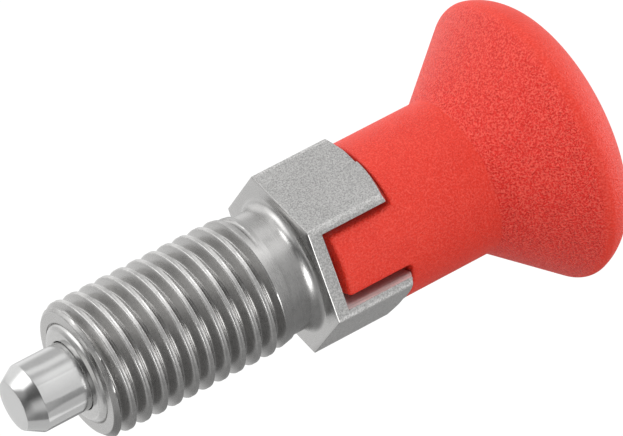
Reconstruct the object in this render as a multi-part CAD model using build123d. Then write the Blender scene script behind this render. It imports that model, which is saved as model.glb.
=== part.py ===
from build123d import *
import math
import os

# Indexing plunger, M12 x 1.5 body, 6 mm pin, 25 mm mushroom grip, with a rest position.
# Frame: origin at the centre of the hexagon's front (seat) face, +Z along the axis
# towards the grip, the pin pointing to -Z. +X is the outward normal of one slotted flat.

# ---------------------------------------------------------------- driving dimensions, mm
# threaded sleeve
HEX_AF = 14.0            # width across flats
HEX_H = 8.0              # height of the hexagon
HEX_CHAMFER_R = 6.8      # where the 30 degree rear chamfer meets the rear face
SLOT_W = 6.8             # locking slot, milled straight through along X
SLOT_FLOOR = 1.2         # web left under the slot
PARK_W = 6.4             # shallow notch across the rear face, along Y
PARK_DEPTH = 0.28
THREAD_R = 5.96          # crest radius of the M12 x 1.5 thread
SLEEVE_FRONT = -20.0
FRONT_RIM_R = 5.42       # front face out to here, then the 45 degree thread chamfer
THREAD_END = -4.3        # full crest up to here, then the run-out
RUNOUT_R = 5.62
RUNOUT_END = -2.6
NECK_R = 5.4             # relief behind the thread
NECK_FILLET_START = -1.0
SEAT_FILLET_R = 6.2      # where the neck's fillet meets the seat face
BORE_R = 4.4             # spring chamber, drilled from the front
CHAMBER_END = -1.0
SHANK_HOLE_R = 2.55

# guide bush, pressed into the front of the bore
BUSH_R = 4.4
BUSH_BORE_R = 3.03
BUSH_BACK = -16.6
BUSH_NOSE = -20.45

# locking pin
PIN_R = 3.0
PIN_TIP = -26.0
PIN_TIP_R = 2.15
PIN_CHAMFER_DEG = 30.0   # angle to the axis
SHOULDER_R = 4.32
SHOULDER_FRONT = -16.55
SHOULDER_BACK = -14.5
SHANK_R = 2.5
SHANK_END = 20.0
GROOVE_DEPTH = 0.2
GROOVES = (12.2, 13.8, 15.4, 17.0)

# compression spring
WIRE_R = 0.4
COIL_R = 3.6
END_PITCH = 0.82
SPRING_GAP = 0.02
ACTIVE_TURNS = 6.5

# mushroom grip
COLLAR_R = 6.95
COLLAR_FRONT = 8.08
CREASE_Z = 16.95
CONE_END = (12.384, 23.572)
RIM_R = 0.94
RIM_SPLIT_DEG = 15.1
CAP_R = 4.24
CAP_END_DEG = 80.0
TONGUE_W = 5.4           # the two lugs are the ends of one cross bar
TONGUE_FRONT = 1.95
TONGUE_CORNER_R = 0.45
TONGUE_EDGE_R = 0.32
BAR_INSET = 0.03          # the lugs' ends stand this far inside the collar
COLLAR_EDGE_R = 0.25


def pt(r, z):
    """A point of a turned profile, drawn in the XZ plane."""
    return (r, 0, z)


def turned(points):
    """A solid turned about Z from a closed polyline of (r, z) points."""
    edges = Polyline(*[pt(r, z) for r, z in points], close=True)
    return revolve(make_face(edges), Axis.Z, 360)


def arc_mid(c, r, a0, a1):
    """Three points, start, middle and end, of an arc in the profile plane."""
    out = []
    for a in (a0, (a0 + a1) / 2, a1):
        out.append(pt(c[0] + r * math.cos(math.radians(a)), c[1] + r * math.sin(math.radians(a))))
    return out


# ---------------------------------------------------------------- threaded sleeve
tan30 = math.tan(math.radians(30))
corner_r = HEX_AF / 2 / math.cos(math.radians(30))
outer_r = corner_r + 1.0

# the turned stock: thread zone, run-out, neck, seat fillet and a disc the hexagon is cut from
fillet_dr = SEAT_FILLET_R - NECK_R
profile = Wire(
    [
        Edge.make_line(pt(0, SLEEVE_FRONT), pt(FRONT_RIM_R, SLEEVE_FRONT)),
        Edge.make_line(pt(FRONT_RIM_R, SLEEVE_FRONT), pt(THREAD_R, SLEEVE_FRONT + THREAD_R - FRONT_RIM_R)),
        Edge.make_line(pt(THREAD_R, SLEEVE_FRONT + THREAD_R - FRONT_RIM_R), pt(THREAD_R, THREAD_END)),
        Edge.make_line(pt(THREAD_R, THREAD_END), pt(RUNOUT_R, RUNOUT_END)),
        Edge.make_line(pt(RUNOUT_R, RUNOUT_END), pt(NECK_R, RUNOUT_END + 0.15)),
        Edge.make_line(pt(NECK_R, RUNOUT_END + 0.15), pt(NECK_R, NECK_FILLET_START)),
        Edge.make_three_point_arc(
            pt(NECK_R, NECK_FILLET_START),
            pt(NECK_R + fillet_dr * (1 - math.cos(math.radians(45))), NECK_FILLET_START * (1 - math.sin(math.radians(45)))),
            pt(SEAT_FILLET_R, 0),
        ),
        Edge.make_line(pt(SEAT_FILLET_R, 0), pt(outer_r, 0)),
        Edge.make_line(pt(outer_r, 0), pt(outer_r, HEX_H - (outer_r - HEX_CHAMFER_R) * tan30)),
        Edge.make_line(pt(outer_r, HEX_H - (outer_r - HEX_CHAMFER_R) * tan30), pt(HEX_CHAMFER_R, HEX_H)),
        Edge.make_line(pt(HEX_CHAMFER_R, HEX_H), pt(0, HEX_H)),
        Edge.make_line(pt(0, HEX_H), pt(0, SLEEVE_FRONT)),
    ]
)
stock = revolve(Face(profile), Axis.Z, 360)
# the hexagon's flats: one normal to +X, so corners stand at 30, 90, 150 degrees
hex_plan = RegularPolygon(radius=HEX_AF / 2, side_count=6, major_radius=False)
hex_bar = extrude(hex_plan, HEX_H)
hex_faces = sorted(hex_bar.faces().filter_by(GeomType.PLANE), key=lambda f: abs(f.normal_at().X), reverse=True)
if abs(abs(hex_faces[0].normal_at().X) - 1) > 1e-6:
    hex_bar = Rot(0, 0, 30) * hex_bar
shank_zone = Pos(0, 0, SLEEVE_FRONT - 1) * Cylinder(SEAT_FILLET_R + 0.3, -SLEEVE_FRONT + 1, align=(Align.CENTER, Align.CENTER, Align.MIN))
sleeve = stock & (hex_bar + shank_zone)
# bore, shank hole, slot and rest notch
sleeve -= Pos(0, 0, SLEEVE_FRONT - 1) * Cylinder(BORE_R, CHAMBER_END - SLEEVE_FRONT + 1, align=(Align.CENTER, Align.CENTER, Align.MIN))
sleeve -= turned([(0, SLEEVE_FRONT - 1), (BORE_R + 1.12, SLEEVE_FRONT - 1), (BORE_R + 0.12, SLEEVE_FRONT), (BORE_R, SLEEVE_FRONT + 0.12), (0, SLEEVE_FRONT + 0.12)])
sleeve -= Pos(0, 0, CHAMBER_END - 1) * Cylinder(SHANK_HOLE_R, SLOT_FLOOR - CHAMBER_END + 2, align=(Align.CENTER, Align.CENTER, Align.MIN))
sleeve -= Pos(0, 0, SLOT_FLOOR) * Box(2 * outer_r + 2, SLOT_W, HEX_H, align=(Align.CENTER, Align.CENTER, Align.MIN))
sleeve -= Pos(0, 0, HEX_H - PARK_DEPTH) * Box(PARK_W, 2 * outer_r + 2, 2, align=(Align.CENTER, Align.CENTER, Align.MIN))

# ---------------------------------------------------------------- guide bush
bush = turned(
    [
        (BUSH_BORE_R, BUSH_BACK),
        (BUSH_R, BUSH_BACK),
        (BUSH_R, SLEEVE_FRONT + 0.1),
        (BUSH_R - 0.1, SLEEVE_FRONT - 0.12),
        (BUSH_R - 0.45, BUSH_NOSE + 0.06),
        (BUSH_BORE_R + 0.12, BUSH_NOSE),
        (BUSH_BORE_R, BUSH_NOSE + 0.12),
    ]
)

# ---------------------------------------------------------------- locking pin
nose_len = (PIN_R - PIN_TIP_R) / math.tan(math.radians(PIN_CHAMFER_DEG))
pin_points = [
    (0, PIN_TIP),
    (PIN_TIP_R, PIN_TIP),
    (PIN_R, PIN_TIP + nose_len),
    (PIN_R, SHOULDER_FRONT),
    (SHOULDER_R - 0.2, SHOULDER_FRONT),
    (SHOULDER_R, SHOULDER_FRONT + 0.2),
    (SHOULDER_R, SHOULDER_BACK - 0.2),
    (SHOULDER_R - 0.2, SHOULDER_BACK),
    (SHANK_R, SHOULDER_BACK),
]
for g in GROOVES:
    pin_points += [(SHANK_R, g - 0.4), (SHANK_R - GROOVE_DEPTH, g - 0.2), (SHANK_R - GROOVE_DEPTH, g + 0.2), (SHANK_R, g + 0.4)]
pin_points += [(SHANK_R, SHANK_END - 0.4), (SHANK_R - 0.4, SHANK_END), (0, SHANK_END)]
pin = turned(pin_points)

# ---------------------------------------------------------------- compression spring
# closed ends, ground flat: one turn of closing pitch at each end, the active turns between
z0 = SHOULDER_BACK + SPRING_GAP
z1 = CHAMBER_END - SPRING_GAP
grind = 0.1
zs = z0 + WIRE_R - grind
ze = z1 - WIRE_R + grind
active = ze - zs - 2 * END_PITCH
pitch = active / ACTIVE_TURNS


def coil(z_start, step, turns, start_turn):
    path = Helix(pitch=step, height=step * turns, radius=COIL_R)
    start = path @ 0
    section = Plane(origin=start, z_dir=path % 0) * Circle(WIRE_R)
    return Pos(0, 0, z_start) * Rot(0, 0, 360 * start_turn) * sweep(section, path=path, is_frenet=True)


parts_of_spring = [
    coil(zs, END_PITCH, 1.0, 0.0),
    coil(zs + END_PITCH, pitch, ACTIVE_TURNS, 0.0),
    coil(zs + END_PITCH + active, END_PITCH, 1.0, ACTIVE_TURNS % 1),
]
joins = []
for zj, turn in ((zs + END_PITCH, 0.0), (zs + END_PITCH + active, ACTIVE_TURNS % 1)):
    a = 2 * math.pi * turn
    joins.append(Pos(COIL_R * math.cos(a), COIL_R * math.sin(a), zj) * Sphere(WIRE_R))
spring = parts_of_spring[0] + joins[0] + parts_of_spring[1] + joins[1] + parts_of_spring[2]
spring = spring & (Pos(0, 0, z0) * Cylinder(COIL_R + 2, z1 - z0, align=(Align.CENTER, Align.CENTER, Align.MIN)))

# ---------------------------------------------------------------- mushroom grip
# rim: a small arc tangent to the cone, then the larger cap arc, then a slight crown
cone_dir = math.atan2(CONE_END[0] - COLLAR_R, CONE_END[1] - CREASE_Z)
cone_normal = -math.degrees(cone_dir)
rim_c = (CONE_END[0] - RIM_R * math.cos(cone_dir), CONE_END[1] + RIM_R * math.sin(cone_dir))
split = math.radians(RIM_SPLIT_DEG)
cap_c = (rim_c[0] - (CAP_R - RIM_R) * math.cos(split), rim_c[1] - (CAP_R - RIM_R) * math.sin(split))
rim = arc_mid(rim_c, RIM_R, cone_normal, RIM_SPLIT_DEG)
cap = arc_mid(cap_c, CAP_R, RIM_SPLIT_DEG, CAP_END_DEG)
crown_r = cap[2][0] / math.sin(math.radians(90 - CAP_END_DEG))
crown_c = (0.0, cap[2][2] - crown_r * math.cos(math.radians(90 - CAP_END_DEG)))
crown = arc_mid(crown_c, crown_r, CAP_END_DEG, 90)
edge = arc_mid((COLLAR_R - COLLAR_EDGE_R, COLLAR_FRONT + COLLAR_EDGE_R), COLLAR_EDGE_R, -90, 0)
grip_profile = Wire(
    [
        Edge.make_line(pt(0, COLLAR_FRONT), edge[0]),
        Edge.make_three_point_arc(*edge),
        Edge.make_line(edge[2], pt(COLLAR_R, CREASE_Z)),
        Edge.make_line(pt(COLLAR_R, CREASE_Z), rim[0]),
        Edge.make_three_point_arc(*rim),
        Edge.make_three_point_arc(rim[2], cap[1], cap[2]),
        Edge.make_three_point_arc(cap[2], crown[1], pt(0, crown[2][2])),
        Edge.make_line(pt(0, crown[2][2]), pt(0, COLLAR_FRONT)),
    ]
)
head = revolve(Face(grip_profile), Axis.Z, 360)
# cross bar: its two ends are the lugs, nearly flush with the collar
bar_r = COLLAR_R - BAR_INSET
half_w = TONGUE_W / 2
reach = math.sqrt(bar_r**2 - half_w**2)
bar_plan = Circle(bar_r) & Rectangle(2 * bar_r + 2, TONGUE_W)
bar_plan = fillet(bar_plan.vertices(), TONGUE_CORNER_R)
bar = extrude(Pos(0, 0, TONGUE_FRONT) * bar_plan, COLLAR_FRONT + 1.0 - TONGUE_FRONT)
bar = fillet(bar.edges().group_by(Axis.Z)[0], TONGUE_EDGE_R)
grip = head + bar
grip -= Pos(0, 0, TONGUE_FRONT - 1) * Cylinder(SHANK_R, SHANK_END - TONGUE_FRONT + 1, align=(Align.CENTER, Align.CENTER, Align.MIN))

# ---------------------------------------------------------------- write
os.makedirs("parts", exist_ok=True)
for name, shape in (
    ("threaded_sleeve", sleeve),
    ("guide_bush", bush),
    ("locking_pin", pin),
    ("compression_spring", spring),
    ("mushroom_grip", grip),
):
    solids = shape.solids()
    print(name, "solids", len(solids), "volume", round(sum(s.volume for s in solids), 2), "valid", all(s.is_valid for s in solids))
    export_step(solids[0] if len(solids) == 1 else Compound(children=list(solids)), f"parts/{name}.step")
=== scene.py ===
import bpy
import bmesh
import math
import numpy as np
from mathutils import Matrix, Vector


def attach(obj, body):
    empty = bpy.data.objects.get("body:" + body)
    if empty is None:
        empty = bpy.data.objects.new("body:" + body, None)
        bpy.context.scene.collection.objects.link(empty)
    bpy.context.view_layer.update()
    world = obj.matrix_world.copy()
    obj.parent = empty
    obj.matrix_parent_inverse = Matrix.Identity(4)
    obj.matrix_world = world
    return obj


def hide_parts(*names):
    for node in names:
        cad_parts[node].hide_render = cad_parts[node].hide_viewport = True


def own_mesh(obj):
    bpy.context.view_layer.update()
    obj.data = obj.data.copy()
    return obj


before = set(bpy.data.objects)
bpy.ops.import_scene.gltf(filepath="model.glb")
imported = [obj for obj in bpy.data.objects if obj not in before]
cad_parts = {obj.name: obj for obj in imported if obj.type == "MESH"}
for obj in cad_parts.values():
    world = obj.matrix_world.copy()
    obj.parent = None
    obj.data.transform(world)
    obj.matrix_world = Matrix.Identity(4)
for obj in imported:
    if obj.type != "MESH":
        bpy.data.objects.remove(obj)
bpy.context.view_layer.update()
MM = 0.001

# ---------------------------------------------------------------- camera
# The view: the part's axis runs up and to the right, the pin nearer to the camera than the grip.
FRAME_W, FRAME_H = 623, 436
FOCAL_PX = 5530.66
PSI, THETA, PHI0 = math.radians(27.51), math.radians(21.76), math.radians(20.31)
ORIGIN_PX = (282.99, 265.43)
DISTANCE = 450.0
ax_z = np.array([math.cos(THETA) * math.cos(PSI), -math.cos(THETA) * math.sin(PSI), math.sin(THETA)])
ax_n = np.array([math.sin(THETA) * math.cos(PSI), -math.sin(THETA) * math.sin(PSI), -math.cos(THETA)])
ax_m = np.cross(ax_z, ax_n)
ax_x = math.cos(PHI0) * ax_n + math.sin(PHI0) * ax_m
ax_y = np.cross(ax_z, ax_x)
TURN = np.column_stack([ax_x, ax_y, ax_z])
PLACE = np.array([(ORIGIN_PX[0] - FRAME_W / 2) / FOCAL_PX * DISTANCE, (ORIGIN_PX[1] - FRAME_H / 2) / FOCAL_PX * DISTANCE, DISTANCE])
RIGHT, UP, BACK = TURN.T @ np.array([1.0, 0, 0]), -TURN.T @ np.array([0, 1.0, 0]), -TURN.T @ np.array([0, 0, 1.0])
EYE = -TURN.T @ PLACE * MM
cam_data = bpy.data.cameras.new("camera")
cam_data.sensor_width = 36.0
cam_data.lens = FOCAL_PX / FRAME_W * 36.0
cam_data.clip_start, cam_data.clip_end = 0.01, 20.0
camera = bpy.data.objects.new("camera", cam_data)
bpy.context.scene.collection.objects.link(camera)
camera.matrix_world = Matrix(
    (
        (RIGHT[0], UP[0], BACK[0], EYE[0]),
        (RIGHT[1], UP[1], BACK[1], EYE[1]),
        (RIGHT[2], UP[2], BACK[2], EYE[2]),
        (0, 0, 0, 1),
    )
)
bpy.context.scene.camera = camera
bpy.context.scene.view_settings.view_transform = "Standard"
bpy.context.scene.view_settings.look = "None"
bpy.context.scene.view_settings.exposure = 0.0
bpy.context.scene.view_settings.gamma = 1.0


# ---------------------------------------------------------------- mesh helpers, all in millimetres until the end
def smoothstep(x, lo, hi):
    t = np.clip((x - lo) / (hi - lo), 0, 1)
    return t * t * (3 - 2 * t)


def grid_faces(rows, cols, base=0, close_rows=False):
    """Quads between rows of vertices; the last column already repeats the first."""
    out = []
    last = rows if close_rows else rows - 1
    for i in range(last):
        a, b = base + i * cols, base + ((i + 1) % rows) * cols
        for j in range(cols - 1):
            out.append((a + j, a + j + 1, b + j + 1, b + j))
    return out


def make_bm(points, faces, merge=0.0004):
    bm = bmesh.new()
    vs = [bm.verts.new(p) for p in points]
    for f in faces:
        ids = []
        for i in f:
            if i not in ids:
                ids.append(i)
        if len(ids) > 2:
            bm.faces.new([vs[i] for i in ids])
    bmesh.ops.remove_doubles(bm, verts=bm.verts[:], dist=merge)
    bmesh.ops.dissolve_degenerate(bm, dist=0.0003, edges=bm.edges[:])
    loose = [v for v in bm.verts if not v.link_faces]
    bmesh.ops.delete(bm, geom=loose, context="VERTS")
    bmesh.ops.recalc_face_normals(bm, faces=bm.faces[:])
    return bm


def outward(bm):
    if bm.calc_volume(signed=True) < 0:
        bmesh.ops.reverse_faces(bm, faces=bm.faces[:])


def revolve(profile, cols=192, closed=False):
    """A turned solid from (r, z) points. Open profiles start and end on the axis."""
    phi = np.linspace(0, 2 * math.pi, cols + 1)
    pts = []
    for r, z in profile:
        for a in phi:
            pts.append((r * math.cos(a), r * math.sin(a), z))
    bm = make_bm(pts, grid_faces(len(profile), cols + 1, close_rows=closed))
    outward(bm)
    return bm


def arc(c, r, a0, a1, n):
    return [(c[0] + r * math.cos(math.radians(a0 + (a1 - a0) * k / n)), c[1] + r * math.sin(math.radians(a0 + (a1 - a0) * k / n))) for k in range(n + 1)]


def object_from(bm, name):
    for v in bm.verts:
        v.co *= MM
    mesh = bpy.data.meshes.new(name)
    bm.to_mesh(mesh)
    bm.free()
    ob = bpy.data.objects.new(name, mesh)
    bpy.context.scene.collection.objects.link(ob)
    return ob


def temp_object(bm, name):
    mesh = bpy.data.meshes.new(name)
    bm.to_mesh(mesh)
    bm.free()
    ob = bpy.data.objects.new(name, mesh)
    bpy.context.scene.collection.objects.link(ob)
    return ob


def boolean(bm, cutter, operation):
    """Exact boolean of two closed bmeshes; both are consumed."""
    a, b = temp_object(bm, "tmp_a"), temp_object(cutter, "tmp_b")
    mod = a.modifiers.new("b", "BOOLEAN")
    mod.operation, mod.solver, mod.object = operation, "EXACT", b
    dg = bpy.context.evaluated_depsgraph_get()
    out = bmesh.new()
    out.from_mesh(a.evaluated_get(dg).to_mesh())
    for o in (a, b):
        me = o.data
        bpy.data.objects.remove(o)
        bpy.data.meshes.remove(me)
    bmesh.ops.remove_doubles(out, verts=out.verts[:], dist=0.0004)
    bmesh.ops.dissolve_degenerate(out, dist=0.0003, edges=out.edges[:])
    return out


def block(x0, x1, y0, y1, z0, z1):
    bm = bmesh.new()
    v = [bm.verts.new((x, y, z)) for z in (z0, z1) for y in (y0, y1) for x in (x0, x1)]
    for f in ((0, 2, 3, 1), (4, 5, 7, 6), (0, 1, 5, 4), (2, 6, 7, 3), (0, 4, 6, 2), (1, 3, 7, 5)):
        bm.faces.new([v[i] for i in f])
    bmesh.ops.recalc_face_normals(bm, faces=bm.faces[:])
    return bm


def finish_normals(ob, sharp_deg=32.0):
    """Smooth shading with hard edges kept, and the large faces kept flat next to small rounded edges."""
    me = ob.data
    for p in me.polygons:
        p.use_smooth = len(p.vertices) <= 6
    bm = bmesh.new()
    bm.from_mesh(me)
    for e in bm.edges:
        if len(e.link_faces) == 2:
            e.smooth = e.calc_face_angle(0.0) < math.radians(sharp_deg)
        else:
            e.smooth = False
    bm.to_mesh(me)
    bm.free()
    mod = ob.modifiers.new("weighted", "WEIGHTED_NORMAL")
    mod.keep_sharp = True
    mod.mode = "FACE_AREA"
    mod.weight = 50
    kinds = [p.material_index for p in me.polygons]
    dg = bpy.context.evaluated_depsgraph_get()
    done = bpy.data.meshes.new_from_object(ob.evaluated_get(dg))
    done.polygons.foreach_set("material_index", kinds)
    ob.modifiers.clear()
    ob.data = done
    done.name = ob.name


# ---------------------------------------------------------------- threaded sleeve
AF2, HEX_H, CONE_R = 7.0, 8.0, 6.8
TAN30 = math.tan(math.radians(30))
CORNER = 0.11
y_flat = (AF2 - CORNER) * TAN30


def hex_radius(phi):
    """Radius of the hexagon's outline with slightly rounded corners; flats face 0, 60, 120 degrees."""
    d = (phi + math.pi / 6) % (math.pi / 3) - math.pi / 6
    if abs(d) <= math.atan2(y_flat, AF2):
        return AF2 / math.cos(d)
    cx, cy = AF2 - CORNER, y_flat
    ux, uy = math.cos(abs(d)), math.sin(abs(d))
    along, across = cx * ux + cy * uy, cx * uy - cy * ux
    return along + math.sqrt(max(CORNER**2 - across**2, 0))


base_phi = [2 * math.pi * k / 168 for k in range(168)]
extra = []
for k in range(6):
    corner_at = math.radians(30 + 60 * k)
    for d in (-0.78, -0.4, 0.4, 0.78):
        extra.append((corner_at + math.radians(d)) % (2 * math.pi))
PHI = np.array(sorted(base_phi + extra) + [2 * math.pi])
HEXR = np.array([hex_radius(p) for p in PHI])
COLS = len(PHI)

PITCH, CREST_R, ROOT_R = 1.5, 5.96, 5.08
CREST_AT = -18.48
half_profile = [
    (0.000, 5.945), (0.060, 5.948), (0.115, 5.958), (0.145, 5.960), (0.170, 5.952), (0.192, 5.930),
    (0.280, 5.792), (0.380, 5.620), (0.480, 5.447), (0.570, 5.292), (0.640, 5.175), (0.695, 5.105),
]
one_turn = half_profile + [(PITCH / 2, ROOT_R)] + [(PITCH - u, r) for u, r in reversed(half_profile[1:])]

rows = []


def ring(r, z):
    r = np.broadcast_to(np.asarray(r, float), PHI.shape)
    z = np.broadcast_to(np.asarray(z, float), PHI.shape)
    rows.append(np.column_stack([r * np.cos(PHI), r * np.sin(PHI), z]))


# mouth of the bore and front face
for r, z in ((4.40, -19.88), (4.46, -19.955), (4.52, -20.0), (4.75, -20.0), (5.05, -20.0), (5.36, -20.0), (5.41, -19.992), (5.45, -19.97)):
    ring(r, z)
# thread, row by row along the helix, held inside the lead chamfer and the run-out
FRONT, REAR = -19.97, -2.6
for turn in range(-2, 12):
    for u, r in one_turn:
        z = CREST_AT + PITCH * (PHI / (2 * math.pi)) + PITCH * turn + u
        z = np.clip(z, FRONT, REAR)
        depth = CREST_R - r
        fade = smoothstep(z, FRONT, -19.25) * (1 - smoothstep(z, -3.75, -2.62))
        rr = CREST_R - depth * fade
        rr = np.minimum(rr, 5.45 + (z - FRONT))
        rr = np.minimum(rr, np.where(z > -4.3, CREST_R - 0.34 * (z + 4.3) / 1.7, CREST_R))
        ring(rr, z)
# run-out ring, neck and the fillet up to the seat face
for r, z in ((5.62, -2.585), (5.42, -2.56), (5.40, -2.53), (5.40, -2.1), (5.40, -1.7), (5.40, -1.35), (5.40, -1.0)):
    ring(r, z)
for k in range(1, 13):
    t = math.radians(90 * k / 12)
    ring(5.40 + 0.8 * (1 - math.cos(t)), -1.0 * (1 - math.sin(t)))
# seat face, edge, flats, rear chamfer, rear face
for t in (0.3, 0.65, 1.0):
    ring(6.2 + (HEXR - 0.06 - 6.2) * t, 0.0)
ring(HEXR - 0.018, 0.018)
ring(HEXR, 0.06)
cone_z = HEX_H - (HEXR - CONE_R) * TAN30
for t in (0.2, 0.5, 0.8):
    ring(HEXR, 0.06 + (cone_z - 0.05 - 0.06) * t)
ring(HEXR, cone_z - 0.035)
ring(HEXR - 0.012, cone_z - 0.004)
ring(HEXR - 0.045, cone_z + 0.045 * TAN30)
ring((HEXR + CONE_R) / 2, (cone_z + HEX_H) / 2)
ring(CONE_R + 0.04, HEX_H - 0.04 * TAN30)
ring(CONE_R - 0.03, HEX_H)
for r in (6.2, 5.4, 4.4, 3.4, 2.55):
    ring(r, HEX_H)
# down the shank hole, the end of the chamber and the bore
for r, z in ((2.55, 5.0), (2.55, 1.2), (2.55, 0.0), (2.55, -1.0), (3.4, -1.0), (4.4, -1.0), (4.4, -4.0), (4.4, -8.0), (4.4, -12.0), (4.4, -16.6)):
    ring(r, z)
pts = np.concatenate(rows)
sleeve_bm = make_bm([tuple(p) for p in pts], grid_faces(len(rows), COLS, close_rows=True))
outward(sleeve_bm)
SLOT2, SLOT_FLOOR, PARK2, PARK_Z = 3.4, 1.2, 3.2, 7.72
sleeve_bm = boolean(sleeve_bm, block(-9, 9, -SLOT2, SLOT2, SLOT_FLOOR, 9), "DIFFERENCE")
sleeve_bm = boolean(sleeve_bm, block(-PARK2, PARK2, -9, 9, PARK_Z, 9), "DIFFERENCE")


def milled(f):
    """True for a face that the slot or notch cutter left."""
    n, c = f.normal, f.calc_center_median()
    if c.z > SLOT_FLOOR - 0.01 and abs(n.y) > 0.99 and abs(abs(c.y) - SLOT2) < 0.01:
        return True
    if n.z > 0.99 and abs(c.z - SLOT_FLOOR) < 0.01:
        return True
    if c.z > PARK_Z - 0.01 and ((n.z > 0.99 and abs(c.z - PARK_Z) < 0.01) or (abs(n.x) > 0.99 and abs(abs(c.x) - PARK2) < 0.01)):
        return True
    return False


sleeve_bm.normal_update()
zone = [v for v in sleeve_bm.verts if v.co.z > 0.05]
zset = set(zone)
flat_edges = [
    e for e in sleeve_bm.edges
    if e.verts[0] in zset and e.verts[1] in zset and len(e.link_faces) == 2 and e.calc_face_angle(9) < math.radians(0.4)
]
bmesh.ops.dissolve_edges(sleeve_bm, edges=flat_edges, use_verts=False, use_face_split=False)
straight = []
for v in sleeve_bm.verts:
    if v.co.z > 0.1 and len(v.link_edges) == 2:
        a, b = (e.other_vert(v).co - v.co for e in v.link_edges)
        if a.length > 1e-6 and b.length > 1e-6 and a.normalized().dot(b.normalized()) < -0.99999:
            straight.append(v)
bmesh.ops.dissolve_verts(sleeve_bm, verts=straight)
sleeve_bm.normal_update()
sharp = []


def park_rim(e):
    """An edge of the shallow park notch that isn't on a wall of the slot: it stays sharp."""
    if all(abs(abs(v.co.y) - SLOT2) < 0.01 for v in e.verts):
        return False
    for f in e.link_faces:
        n, c = f.normal, f.calc_center_median()
        if n.z > 0.99 and abs(c.z - PARK_Z) < 0.01:
            return True
        if c.z > PARK_Z - 0.01 and abs(n.x) > 0.99 and abs(abs(c.x) - PARK2) < 0.01:
            return True
    return False


for e in sleeve_bm.edges:
    if len(e.link_faces) == 2 and e.verts[0].co.z > 0.5 and e.verts[1].co.z > 0.5 and e.is_convex:
        if e.calc_face_angle(0) > math.radians(20) and (milled(e.link_faces[0]) or milled(e.link_faces[1])) and not park_rim(e):
            sharp.append(e)
print("sleeve bevel edges", len(sharp), "verts", len(sleeve_bm.verts))
bmesh.ops.bevel(sleeve_bm, geom=sharp, offset=0.055, offset_type="OFFSET", segments=2, profile=0.5, affect="EDGES", clamp_overlap=False)
bmesh.ops.recalc_face_normals(sleeve_bm, faces=sleeve_bm.faces[:])
outward(sleeve_bm)
# 0 turned, 1 flats, 2 faced ends, 3 milled faces
for f in sleeve_bm.faces:
    c, n = f.calc_center_median(), f.normal
    rad = math.hypot(c.x, c.y)
    f.material_index = 0
    if c.z > 0.03:
        phi = math.atan2(n.y, n.x)
        d = (phi + math.pi / 6) % (math.pi / 3) - math.pi / 6
        if abs(n.z) < 0.2 and rad > 4.5 and abs(d) < 0.5:
            f.material_index = 1
        if milled(f) or rad < 4.4:
            f.material_index = 3
    if abs(n.z) > 0.999 and (abs(c.z) < 0.001 or abs(c.z - HEX_H) < 0.001 or abs(c.z + 20) < 0.002):
        f.material_index = 2
sleeve = object_from(sleeve_bm, "sleeve_body")
finish_normals(sleeve)

# ---------------------------------------------------------------- guide bush
bush = object_from(
    revolve(
        [
            (3.03, -16.62), (4.38, -16.62), (4.40, -16.7), (4.40, -19.88), (4.385, -19.93), (4.30, -20.12), (4.24, -20.18),
            (3.98, -20.38), (3.93, -20.405), (3.6, -20.425), (3.2, -20.447), (3.13, -20.445), (3.06, -20.39), (3.03, -20.30),
        ],
        192,
        closed=True,
    ),
    "front_bush",
)
finish_normals(bush)

# ---------------------------------------------------------------- locking pin
pin_profile = [
    (0, -26.0), (0.7, -26.0), (1.4, -26.0), (2.09, -26.0), (2.13, -25.992), (2.165, -25.965), (2.58, -25.255), (2.965, -24.59),
    (2.99, -24.54), (3.0, -24.47), (3.0, -23.0), (3.0, -21.0), (3.0, -19.0), (3.0, -16.55),
    (4.12, -16.55), (4.32, -16.35), (4.32, -14.7), (4.12, -14.5), (2.5, -14.5), (2.5, -8.0), (2.5, 0.0), (2.5, 6.0),
]
for g in (12.2, 13.8, 15.4, 17.0):
    pin_profile += [(2.5, g - 0.4), (2.3, g - 0.2), (2.3, g + 0.2), (2.5, g + 0.4)]
pin_profile += [(2.5, 19.6), (2.1, 20.0), (0, 20.0)]
pin = object_from(revolve(pin_profile, 192), "sliding_pin")
finish_normals(pin)

# ---------------------------------------------------------------- spring, closed and ground ends
WIRE, COIL = 0.4, 3.6
z_lo, z_hi = -14.48, -1.02
zs, ze = z_lo + WIRE - 0.1, z_hi - WIRE + 0.1
END_PITCH = 0.82
active_turns, steps = 6.5, 56
turns = active_turns + 2
centre = []
count = int(turns * steps)
for k in range(count + 1):
    t = turns * k / count
    if t < 1:
        z = zs + END_PITCH * t
    elif t < 1 + active_turns:
        z = zs + END_PITCH + (ze - zs - 2 * END_PITCH) * (t - 1) / active_turns
    else:
        z = ze - END_PITCH * (turns - t)
    centre.append((2 * math.pi * t, z))
around = 14
pts, faces = [], []
for k, (a, z) in enumerate(centre):
    for i in range(around):
        w = 2 * math.pi * i / around
        r = COIL + WIRE * math.cos(w)
        pts.append((r * math.cos(a), r * math.sin(a), min(max(z + WIRE * math.sin(w), z_lo), z_hi)))
for k in range(len(centre) - 1):
    for i in range(around):
        j = (i + 1) % around
        faces.append((k * around + i, k * around + j, (k + 1) * around + j, (k + 1) * around + i))
faces.append(tuple(range(around)))
faces.append(tuple((len(centre) - 1) * around + i for i in range(around)))
spring_bm = make_bm(pts, faces)
outward(spring_bm)
spring = object_from(spring_bm, "pressure_spring")
finish_normals(spring, 50)

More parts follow.
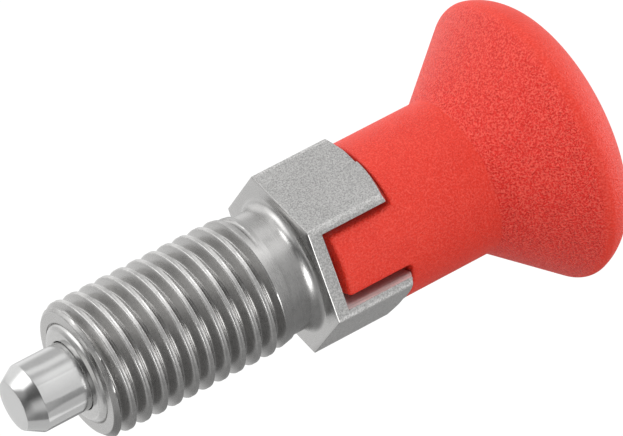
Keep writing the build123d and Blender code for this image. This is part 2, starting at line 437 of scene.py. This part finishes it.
# ---------------------------------------------------------------- mushroom grip
COLLAR, FRONT_Z, CREASE = 6.95, 8.08, 16.95
cone_end = (12.384, 23.572)
cone_dir = math.atan2(cone_end[0] - COLLAR, cone_end[1] - CREASE)
RIM_R, CAP_R, SPLIT = 0.94, 4.24, math.radians(15.1)
rim_c = (cone_end[0] - RIM_R * math.cos(cone_dir), cone_end[1] + RIM_R * math.sin(cone_dir))
cap_c = (rim_c[0] - (CAP_R - RIM_R) * math.cos(SPLIT), rim_c[1] - (CAP_R - RIM_R) * math.sin(SPLIT))
head = [(0, FRONT_Z), (2.0, FRONT_Z), (4.4, FRONT_Z), (6.2, FRONT_Z)]
head += arc((COLLAR - 0.25, FRONT_Z + 0.25), 0.25, -90, 0, 6)
head += [(COLLAR, z) for z in (8.6, 10.0, 12.0, 14.0, 16.0, 16.7)]
crease = 0.10
head += [(COLLAR, CREASE - crease), (COLLAR + 0.012, CREASE - 0.02), (COLLAR + 0.045, CREASE + 0.045)]
head += [(COLLAR + (cone_end[0] - COLLAR) * t, CREASE + (cone_end[1] - CREASE) * t) for t in (0.03, 0.15, 0.3, 0.45, 0.6, 0.75, 0.9)]
head += arc(rim_c, RIM_R, -math.degrees(cone_dir), 15.1, 10)
head += arc(cap_c, CAP_R, 15.1, 80.0, 22)[1:]
cap_end = head[-1]
crown_r = cap_end[0] / math.sin(math.radians(10))
crown_c = (0, cap_end[1] - crown_r * math.cos(math.radians(10)))
head += arc(crown_c, crown_r, 80, 90, 10)[1:]
head[-1] = (0, head[-1][1])
grip_bm = revolve(head, 256)

# cross bar whose two ends are the lugs: outlines stacked from its front face up into the collar
BAR_R, BAR_W = COLLAR - 0.004, 2.7


def outline(r_end, half_w, corner, n_end=22, n_corner=9):
    """Plan of the bar: two arcs about the axis, two straight sides, four rounded corners."""
    cy = half_w - corner
    cxx = math.sqrt((r_end - corner) ** 2 - cy**2)
    at = math.atan2(cy, cxx)
    quarter = []
    for k in range(n_end // 2 + 1):
        a = at * k / (n_end // 2)
        quarter.append((r_end * math.cos(a), r_end * math.sin(a)))
    for k in range(1, n_corner + 1):
        a = at + (math.pi / 2 - at) * k / n_corner
        quarter.append((cxx + corner * math.cos(a), cy + corner * math.sin(a)))
    for k in range(1, 7):
        quarter.append((cxx * (1 - k / 6), half_w))
    q2 = [(-x, y) for x, y in reversed(quarter[:-1])]
    upper = quarter + q2
    lower = [(x, -y) for x, y in reversed(upper[1:-1])]
    return upper + lower


stack = []
edge_r = 0.32
for d, z in ((1.6, 1.95), (0.9, 1.95)):
    stack.append((BAR_R - edge_r - d * 0.4, BAR_W - edge_r - d * 0.4, 0.2, z))
for k in range(7):
    t = math.radians(90 * k / 6)
    inset = edge_r * (1 - math.sin(t))
    stack.append((BAR_R - inset, BAR_W - inset, max(0.45 - inset, 0.13), 1.95 + edge_r * (1 - math.cos(t))))
for z in (3.0, 4.5, 6.0, 7.3):
    stack.append((BAR_R, BAR_W, 0.45, z))
root = 0.35
for k in range(7):
    t = math.radians(90 * k / 6)
    stack.append((BAR_R, BAR_W + root * (1 - math.cos(t)), 0.45, FRONT_Z - root + root * math.sin(t)))
stack.append((BAR_R, BAR_W + root, 0.45, FRONT_Z + 0.27))
pts, faces = [], []
for r_end, w, c, z in stack:
    ol = outline(r_end, w, c)
    per = len(ol)
    pts += [(x, y, z) for x, y in ol]
for k in range(len(stack) - 1):
    for j in range(per):
        i = (j + 1) % per
        faces.append((k * per + j, k * per + i, (k + 1) * per + i, (k + 1) * per + j))
faces.append(tuple(reversed(range(per))))
faces.append(tuple((len(stack) - 1) * per + j for j in range(per)))
bar_bm = make_bm(pts, faces)
outward(bar_bm)
grip_bm = boolean(grip_bm, bar_bm, "UNION")
bore_bm = revolve([(0, 1.0), (2.5, 1.0), (2.5, 20.0), (0, 20.0)], 96)
grip_bm = boolean(grip_bm, bore_bm, "DIFFERENCE")
bmesh.ops.recalc_face_normals(grip_bm, faces=grip_bm.faces[:])
outward(grip_bm)
grip = object_from(grip_bm, "grip_moulding")
finish_normals(grip, 26)

# ---------------------------------------------------------------- node helpers
class Nodes:
    def __init__(self, tree):
        self.t = tree
        self.n = tree.nodes
        self.l = tree.links

    def add(self, kind, **props):
        node = self.n.new(kind)
        for k, v in props.items():
            setattr(node, k, v)
        return node

    def put(self, value, socket):
        if hasattr(value, "is_output") or isinstance(value, bpy.types.NodeSocket):
            self.l.new(value, socket)
        else:
            socket.default_value = value

    def math(self, op, a, b=None, c=None, clamp=False):
        node = self.add("ShaderNodeMath", operation=op, use_clamp=clamp)
        self.put(a, node.inputs[0])
        if b is not None:
            self.put(b, node.inputs[1])
        if c is not None:
            self.put(c, node.inputs[2])
        return node.outputs[0]

    def vmath(self, op, a, b=None, out=0):
        node = self.add("ShaderNodeVectorMath", operation=op)
        self.put(a, node.inputs[0])
        if b is not None:
            self.put(b, node.inputs[1])
        return node.outputs[out]

    def range(self, value, lo, hi, to_lo, to_hi, smooth=False):
        node = self.add("ShaderNodeMapRange", interpolation_type="SMOOTHSTEP" if smooth else "LINEAR", clamp=True)
        self.put(value, node.inputs["Value"])
        for name, v in (("From Min", lo), ("From Max", hi), ("To Min", to_lo), ("To Max", to_hi)):
            self.put(v, node.inputs[name])
        return node.outputs["Result"]

    def noise(self, vector, scale, detail=2.0, rough=0.5, out="Fac"):
        node = self.add("ShaderNodeTexNoise")
        node.inputs["Scale"].default_value = scale
        node.inputs["Detail"].default_value = detail
        node.inputs["Roughness"].default_value = rough
        self.l.new(vector, node.inputs["Vector"])
        return node.outputs[out]

    def voronoi(self, vector, scale, feature="F1", out="Distance"):
        node = self.add("ShaderNodeTexVoronoi", feature=feature)
        node.inputs["Scale"].default_value = scale
        self.l.new(vector, node.inputs["Vector"])
        return node.outputs[out]

    def mix(self, fac, a, b, blend="MIX"):
        node = self.add("ShaderNodeMix", data_type="RGBA", blend_type=blend)
        self.put(fac, node.inputs[0])
        for v, s in ((a, node.inputs[6]), (b, node.inputs[7])):
            if isinstance(v, tuple):
                s.default_value = (*v, 1.0)
            else:
                self.l.new(v, s)
        return node.outputs[2]

    def bump(self, height, distance, strength=1.0, normal=None):
        node = self.add("ShaderNodeBump")
        node.inputs["Strength"].default_value = strength
        node.inputs["Distance"].default_value = distance
        self.l.new(height, node.inputs["Height"])
        if normal is not None:
            self.l.new(normal, node.inputs["Normal"])
        return node.outputs["Normal"]


def new_material(name):
    mat = bpy.data.materials.new(name)
    mat.use_nodes = True
    g = Nodes(mat.node_tree)
    bsdf = next(n for n in g.n if n.type == "BSDF_PRINCIPLED")
    coord = g.add("ShaderNodeTexCoord").outputs["Object"]
    return mat, g, bsdf, coord


def polar(g, coord):
    """(radius, angle, height) sockets of the object's own axis."""
    sep = g.add("ShaderNodeSeparateXYZ")
    g.l.new(coord, sep.inputs[0])
    x, y, z = sep.outputs
    r = g.math("SQRT", g.math("ADD", g.math("MULTIPLY", x, x), g.math("MULTIPLY", y, y)))
    return r, g.math("ARCTAN2", y, x), z


def ring_vector(g, coord, around=0.0006):
    """Coordinates in which noise runs in rings about the axis: radius and height full scale, a little angle."""
    r, a, z = polar(g, coord)
    com = g.add("ShaderNodeCombineXYZ")
    g.l.new(r, com.inputs[0])
    g.l.new(z, com.inputs[1])
    g.l.new(g.math("MULTIPLY", a, around), com.inputs[2])
    return com.outputs[0]


def radial_tangent(g):
    node = g.add("ShaderNodeTangent", direction_type="RADIAL", axis="Z")
    return node.outputs[0]


# turned stainless: thread, neck, fillet, chamfers
def turned_steel(name, base, rough, ring_bump, aniso, tone=0.05, worn_glinting_crests=False):
    mat, g, bsdf, coord = new_material(name)
    rings = ring_vector(g, coord)
    fine = g.noise(rings, 9000, 3.0, 0.6)
    broad = g.noise(rings, 1500, 2.0, 0.5)
    blot = g.noise(coord, 900, 3.0, 0.55)
    dots = g.noise(coord, 5200, 2.0, 0.6)
    shade = g.range(blot, 0.3, 0.7, 1 - tone, 1 + tone)
    shade = g.math("MULTIPLY", shade, g.range(fine, 0.3, 0.7, 1 - tone, 1 + tone))
    shade = g.math("MULTIPLY", shade, g.range(dots, 0.25, 0.75, 1 - tone, 1 + tone))
    if worn_glinting_crests:
        # crests lightened in the colour towards the crest radius, fading out before the run-out: partly wear on the
        # crests, partly a painted highlight on them
        radius, _, height = polar(g, coord)
        crest_wear_and_glint = g.math("MULTIPLY", g.range(radius, 5.80 * MM, 5.93 * MM, 0.0, 1.0, True), g.range(height, -4.0 * MM, -3.4 * MM, 1.0, 0.0, True))
        crest_wear_and_glint = g.math("MULTIPLY", crest_wear_and_glint, g.range(g.noise(coord, 2600, 3.0, 0.6), 0.32, 0.62, 0.45, 1.0))
        shade = g.math("MULTIPLY", shade, g.range(crest_wear_and_glint, 0.0, 1.0, 1.0, 1.27))
    tint = g.mix(1.0, base, (1, 1, 1), "MULTIPLY")
    scale = g.add("ShaderNodeVectorMath", operation="SCALE")
    g.l.new(tint, scale.inputs[0])
    g.l.new(shade, scale.inputs["Scale"])
    g.l.new(scale.outputs[0], bsdf.inputs["Base Color"])
    bsdf.inputs["Metallic"].default_value = 1.0
    g.l.new(g.range(g.math("ADD", g.math("MULTIPLY", fine, 0.5), g.math("MULTIPLY", blot, 0.5)), 0.3, 0.7, rough - 0.05, rough + 0.07), bsdf.inputs["Roughness"])
    bsdf.inputs["Anisotropic"].default_value = aniso
    g.l.new(radial_tangent(g), bsdf.inputs["Tangent"])
    h = g.math("ADD", g.math("MULTIPLY", fine, 0.4), g.math("MULTIPLY", broad, 0.6))
    g.l.new(g.bump(h, ring_bump, 1.0), bsdf.inputs["Normal"])
    return mat


def speckled_steel(name, base, rough, bump_mm, tone=0.10, metal=1.0):
    mat, g, bsdf, coord = new_material(name)
    grain = g.noise(coord, 8200, 2.0, 0.6)
    pits = g.voronoi(coord, 6500)
    cloud = g.noise(coord, 500, 2.0, 0.5)
    shade = g.range(grain, 0.38, 0.62, 1 - tone, 1 + tone)
    shade = g.math("MULTIPLY", shade, g.range(pits, 0.0, 0.40, 1 - tone, 1.0))
    radius, _, height = polar(g, coord)
    # painted highlight: a bright line along the front edge of the flats and along the hex corners, broken up by noise
    edge_highlight_breakup = g.range(g.noise(coord, 1400, 2.0, 0.5), 0.35, 0.65, 0.6, 1.0)
    edge = g.math("MAXIMUM", g.range(height, 0.06 * MM, 0.16 * MM, 1.0, 0.0, True), g.range(radius, 7.90 * MM, 7.97 * MM, 0.0, 1.0, True))
    shade = g.math("MULTIPLY", shade, g.range(g.math("MULTIPLY", edge, edge_highlight_breakup), 0.0, 1.0, 1.0, 1.32))
    shade = g.math("MULTIPLY", shade, g.range(cloud, 0.3, 0.7, 0.97, 1.03))
    scale = g.add("ShaderNodeVectorMath", operation="SCALE")
    scale.inputs[0].default_value = base
    g.l.new(shade, scale.inputs["Scale"])
    g.l.new(scale.outputs[0], bsdf.inputs["Base Color"])
    bsdf.inputs["Metallic"].default_value = metal
    g.l.new(g.range(grain, 0.3, 0.7, rough - 0.06, rough + 0.08), bsdf.inputs["Roughness"])
    h = g.math("ADD", g.math("MULTIPLY", grain, 0.6), g.math("MULTIPLY", pits, 0.6))
    g.l.new(g.bump(h, bump_mm * MM, 1.0), bsdf.inputs["Normal"])
    return mat


def milled_steel(name, base):
    """Cutter marks that run along the part."""
    mat, g, bsdf, coord = new_material(name)
    lines = g.noise(g.vmath("MULTIPLY", coord, (1.0, 1.0, 0.05)), 9000, 3.0, 0.6)
    fine = g.noise(coord, 6000, 2.0, 0.5)
    shade = g.math("MULTIPLY", g.range(lines, 0.35, 0.65, 0.78, 1.1), g.range(fine, 0.3, 0.7, 0.93, 1.07))
    scale = g.add("ShaderNodeVectorMath", operation="SCALE")
    scale.inputs[0].default_value = base
    g.l.new(shade, scale.inputs["Scale"])
    g.l.new(scale.outputs[0], bsdf.inputs["Base Color"])
    bsdf.inputs["Metallic"].default_value = 0.25
    bsdf.inputs["Roughness"].default_value = 0.4
    g.l.new(g.bump(lines, 0.004 * MM, 1.0), bsdf.inputs["Normal"])
    return mat


STEEL = (0.455, 0.450, 0.443)
m_turned = turned_steel("turned_steel", STEEL, 0.27, 0.0012 * MM, 0.35, worn_glinting_crests=True)
m_flat = speckled_steel("satin_flats", (0.398, 0.395, 0.389), 0.50, 0.010, 0.27, 0.35)
m_faced = turned_steel("faced_ends", STEEL, 0.26, 0.0010 * MM, 0.6)
m_milled = milled_steel("milled_slot", (0.86, 0.857, 0.85))
m_bush = turned_steel("bush_steel", (0.50, 0.497, 0.49), 0.22, 0.0012 * MM, 0.5)
m_pin = turned_steel("ground_pin", (0.52, 0.52, 0.517), 0.15, 0.0002 * MM, 0.1, 0.015)
m_wire = speckled_steel("spring_wire", (0.52, 0.52, 0.51), 0.35, 0.001)


def red_plastic():
    mat, g, bsdf, coord = new_material("grained_red")
    r, a, z = polar(g, coord)
    # eroded grain: rounded cells, coarser and deeper on the cone, finer on the collar, nearly gone on the rim and cap
    cells = g.voronoi(coord, 5600, "F1")
    lumps = g.noise(coord, 6200, 1.0, 0.5)
    fine = g.noise(coord, 11500, 1.0, 0.5)
    on_cone = g.range(z, 16.85 * MM, 17.05 * MM, 0.4, 1.0, True)
    off_rim = g.range(z, 23.1 * MM, 23.9 * MM, 1.0, 0.4, True)
    amount = g.math("MULTIPLY", on_cone, off_rim)
    h = g.math("ADD", g.range(lumps, 0.3, 0.7, 0.0, 0.5), g.math("ADD", g.range(cells, 0.0, 0.6, 0.0, 0.3), g.range(fine, 0.3, 0.7, 0.0, 0.2)))
    g.l.new(g.bump(g.math("MULTIPLY", h, amount), 0.18 * MM, 1.0), bsdf.inputs["Normal"])
    cloud = g.noise(coord, 260, 2.0, 0.5)
    colour = g.mix(g.range(cloud, 0.3, 0.7, 0.0, 1.0), (0.71, 0.020, 0.005), (0.75, 0.026, 0.007))
    colour = g.mix(g.range(amount, 0.45, 1.0, 0.0, 0.8), colour, (0.78, 0.010, 0.004))
    # grain tone that is partly painted light: raised grain lightened as a painted glint, grain hollows darkened as
    # painted shade
    grain_glint_and_shade = g.math("MULTIPLY", g.math("SUBTRACT", h, 0.5), amount)
    colour = g.mix(g.range(grain_glint_and_shade, 0.0, 0.25, 0.0, 0.8), colour, (0.93, 0.110, 0.075))
    colour = g.mix(g.range(grain_glint_and_shade, -0.25, 0.0, 0.35, 0.0), colour, (0.54, 0.009, 0.002))
    g.l.new(colour, bsdf.inputs["Base Color"])
    g.l.new(g.range(lumps, 0.3, 0.7, 0.42, 0.56), bsdf.inputs["Roughness"])
    bsdf.inputs["Specular IOR Level"].default_value = 0.45
    bsdf.inputs["Subsurface Weight"].default_value = 0.0
    return mat


m_red = red_plastic()

for ob, mats in ((sleeve, (m_turned, m_flat, m_faced, m_milled)), (bush, (m_bush,)), (pin, (m_pin,)), (spring, (m_wire,)), (grip, (m_red,))):
    kinds = [p.material_index for p in ob.data.polygons]
    for m in mats:
        ob.data.materials.append(m)
    ob.data.polygons.foreach_set("material_index", kinds)
    print("materials", ob.name, [kinds.count(k) for k in range(len(mats))])

for ob, body, node, slot in (
    (sleeve, "sleeve", "threaded_sleeve", "sleeve"),
    (bush, "sleeve", "guide_bush", "bush"),
    (pin, "plunger", "locking_pin", "pin"),
    (spring, "spring", "compression_spring", "spring"),
    (grip, "plunger", "mushroom_grip", "grip"),
):
    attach(ob, body)
    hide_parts(node)
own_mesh(spring)

# ---------------------------------------------------------------- studio
world = bpy.data.worlds.new("studio")
bpy.context.scene.world = world
world.use_nodes = True
g = Nodes(world.node_tree)
g.n.clear()
direction = g.vmath("NORMALIZE", g.add("ShaderNodeTexCoord").outputs["Generated"])


def toward(az, el):
    """World direction for an azimuth and elevation about the camera: 0, 0 is back at the camera, +az to its right."""
    a, e = math.radians(az), math.radians(el)
    return RIGHT * math.cos(e) * math.sin(a) + UP * math.sin(e) + BACK * math.cos(e) * math.cos(a)


def panel(az, el, half_w, half_h, soft):
    """1 inside a rectangular panel seen in that direction, 0 outside, with a soft border; angles in degrees."""
    c = toward(az, el)
    ux = toward(az + 90, 0)
    uy = np.cross(c, ux)
    if uy @ UP < 0:
        uy = -uy
    dc = g.vmath("DOT_PRODUCT", direction, tuple(c), "Value")
    dx = g.vmath("DOT_PRODUCT", direction, tuple(ux), "Value")
    dy = g.vmath("DOT_PRODUCT", direction, tuple(uy), "Value")
    x = g.math("ABSOLUTE", g.math("ARCTAN2", dx, dc))
    y = g.math("ABSOLUTE", g.math("ARCSINE", dy))
    s = math.radians(soft)
    mx = g.range(x, math.radians(half_w) - s, math.radians(half_w) + s, 1.0, 0.0, True)
    my = g.range(y, math.radians(half_h) - s, math.radians(half_h) + s, 1.0, 0.0, True)
    return g.math("MULTIPLY", mx, my)


up_amount = g.vmath("DOT_PRODUCT", direction, tuple(UP), "Value")
level = g.range(up_amount, -0.6, 0.9, 0.31, 0.80, True)
for az, el, hw, hh, soft, add in (
    (-58, 29, 21, 13, 6, 1.65),
    (-120, 34, 44, 18, 10, 0.55),
    (-138, -12, 32, 20, 10, 0.62),
    (112, 18, 28, 20, 12, 2.0),
    (56, 50, 30, 12, 9, 0.6),
    (0, 80, 80, 9, 6, 0.5),
    (24, -38, 34, 16, 12, 0.35),
    (-60, -60, 60, 14, 10, 0.25),
):
    level = g.math("ADD", level, g.math("MULTIPLY", panel(az, el, hw, hh, soft), add))
for az, el, hw, hh, soft, keep in (
    (-4, 6, 26, 24, 9, 0.35),
    (-42, -30, 24, 20, 10, 0.62),
):
    level = g.math("MULTIPLY", level, g.math("SUBTRACT", 1.0, g.math("MULTIPLY", panel(az, el, hw, hh, soft), 1 - keep)))
studio_bg = g.add("ShaderNodeBackground")
g.l.new(level, studio_bg.inputs["Strength"])
studio_bg.inputs["Color"].default_value = (1, 1, 1, 1)
white_bg = g.add("ShaderNodeBackground")
white_bg.inputs["Color"].default_value = (1, 1, 1, 1)
white_bg.inputs["Strength"].default_value = 1.05
path = g.add("ShaderNodeLightPath")
mixer = g.add("ShaderNodeMixShader")
g.l.new(path.outputs["Is Camera Ray"], mixer.inputs[0])
g.l.new(studio_bg.outputs[0], mixer.inputs[1])
g.l.new(white_bg.outputs[0], mixer.inputs[2])
out = g.add("ShaderNodeOutputWorld")
g.l.new(mixer.outputs[0], out.inputs["Surface"])


def softbox(name, az, el, distance, width, height, radiance, only=None, mid=(0, 0, 0.003)):
    """A rectangular lamp of even radiance in that direction; only, if given, names the pieces it lights."""
    data = bpy.data.lights.new(name, "AREA")
    data.shape, data.size, data.size_y = "RECTANGLE", width, height
    data.energy = radiance * math.pi * width * height
    data.color = (1, 1, 1)
    ob = bpy.data.objects.new(name, data)
    bpy.context.scene.collection.objects.link(ob)
    mid = Vector(mid)
    back = Vector(toward(az, el))
    side = Vector(UP).cross(back).normalized()
    top = back.cross(side)
    at = mid + back * distance
    ob.matrix_world = Matrix(((side[0], top[0], back[0], at[0]), (side[1], top[1], back[1], at[1]), (side[2], top[2], back[2], at[2]), (0, 0, 0, 1)))
    if only:
        group = bpy.data.collections.new(name + "_lit")
        for piece in only:
            group.objects.link(piece)
        ob.light_linking.receiver_collection = group
    return ob


NOSE = (0, 0, -0.022)
softbox("key", -8, 46, 0.6, 0.2, 0.2, 3.4, (sleeve, grip))
softbox("fill", 22, -30, 0.6, 0.34, 0.34, 3.9, (sleeve,))
softbox("fill_grip", 22, -30, 0.6, 0.34, 0.34, 4.3, (grip,))
softbox("left_card", -80, 12, 0.6, 0.36, 0.36, 2.3, (grip,))
# cards beside and under the pin
softbox("card_right", 42, 8, 0.3, 0.27, 0.30, 0.6, (pin, bush), NOSE)
softbox("card_under", 175, -62, 0.3, 0.5, 0.36, 0.5, (pin, bush), NOSE)
softbox("card_low_right", 94, -40, 0.3, 0.19, 0.19, 0.5, (pin, bush), NOSE)

# floor, far under the part, which is held by its thread
floor_bm = bmesh.new()
corners = [floor_bm.verts.new((x * 0.3, y * 0.3, -1.0)) for x, y in ((-1, -1), (1, -1), (1, 1), (-1, 1))]
floor_bm.faces.new(corners)
floor_mesh = bpy.data.meshes.new("floor")
floor_bm.to_mesh(floor_mesh)
floor_bm.free()
floor = bpy.data.objects.new("floor", floor_mesh)
bpy.context.scene.collection.objects.link(floor)
mat, g2, bsdf, coord = new_material("pale_floor")
g2.l.new(g2.mix(g2.noise(coord, 6.0, 2.0), (0.80, 0.80, 0.79), (0.84, 0.84, 0.83)), bsdf.inputs["Base Color"])
bsdf.inputs["Roughness"].default_value = 0.7
floor.data.materials.append(mat)

bpy.context.view_layer.update()
